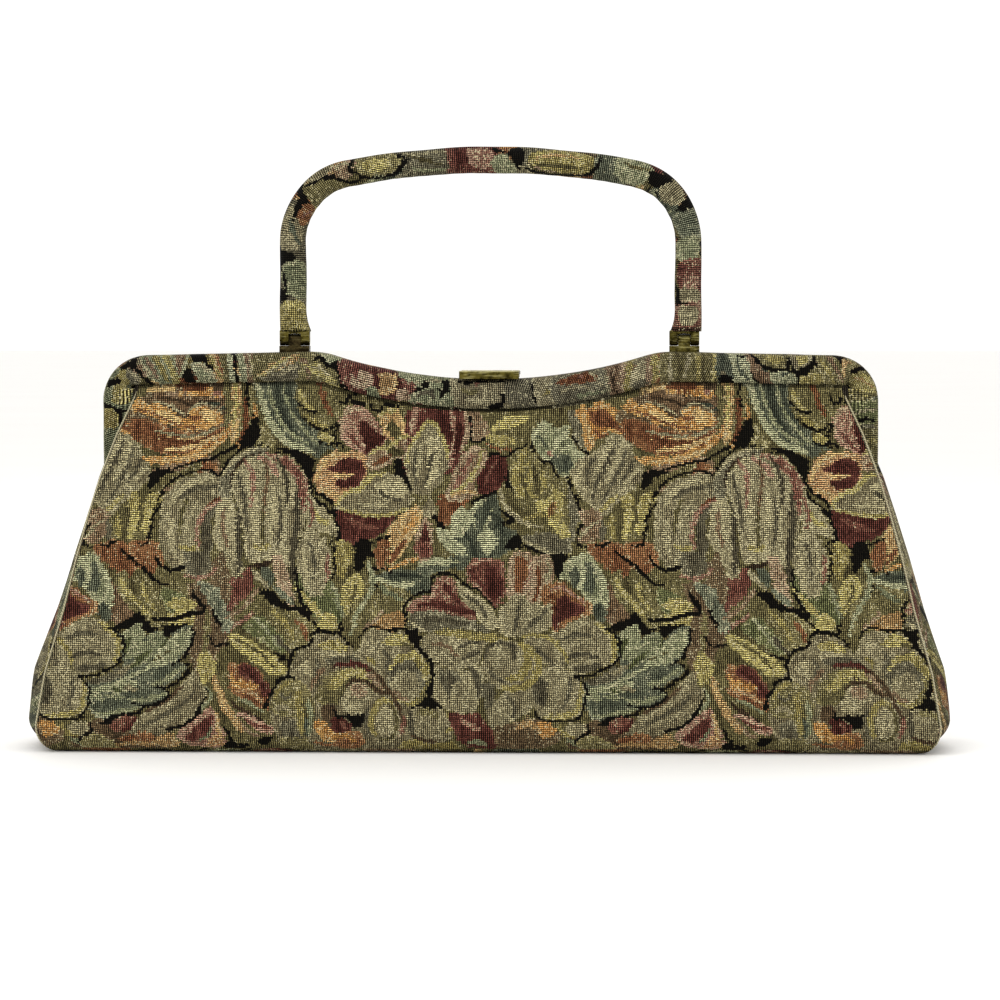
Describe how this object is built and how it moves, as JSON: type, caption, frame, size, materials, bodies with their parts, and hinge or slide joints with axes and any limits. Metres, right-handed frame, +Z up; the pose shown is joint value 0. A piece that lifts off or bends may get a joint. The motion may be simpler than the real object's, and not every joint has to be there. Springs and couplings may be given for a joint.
{
  "type": "frame handbag",
  "caption": "Flared tapestry handbag with a dipped cloth-covered hinged frame, a stiff covered carrying handle on brass pivots and a brass flip clasp.",
  "frame": {"origin": "middle of the base, on the surface that the bag stands on", "axes": "+X to the right as the front is seen, +Y from front to back, +Z up"},
  "size_m": [0.356, 0.0698, 0.2313],
  "materials": {
    "tapestry": "jacquard floral tapestry on a black ground, with fine gold threads",
    "gold_cord": "dull gold piping",
    "brass": "worn, slightly tarnished"
  },
  "bodies": {
    "bag": {"body_wrap": "tapestry", "gusset_left": "tapestry", "gusset_right": "tapestry", "piping_left": "gold_cord", "piping_right": "gold_cord", "frame_front": "tapestry", "frame_back": "tapestry", "frame_hinge_left": "brass", "frame_hinge_right": "brass", "handle_post_left": "brass", "handle_post_right": "brass", "clasp_plate": "brass", "clasp_catch": "brass"},
    "handle": {"handle_grip": "tapestry", "handle_ferrule_left": "brass", "handle_ferrule_right": "brass", "handle_pin_left": "brass", "handle_pin_right": "brass"},
    "clasp": {"clasp_lever": "brass", "clasp_pin": "brass"}
  },
  "joints": [
    {"name": "handle_swing", "type": "hinge", "parent": "bag", "child": "handle", "pos_m": [0, 0.0048, 0.1567], "axis": [1, 0, 0], "range_deg": [-80, 80]},
    {"name": "clasp_lift", "type": "hinge", "parent": "bag", "child": "clasp", "pos_m": [0, 0.0076, 0.144], "axis": [-1, 0, 0], "range_deg": [0, 85]}
  ]
}
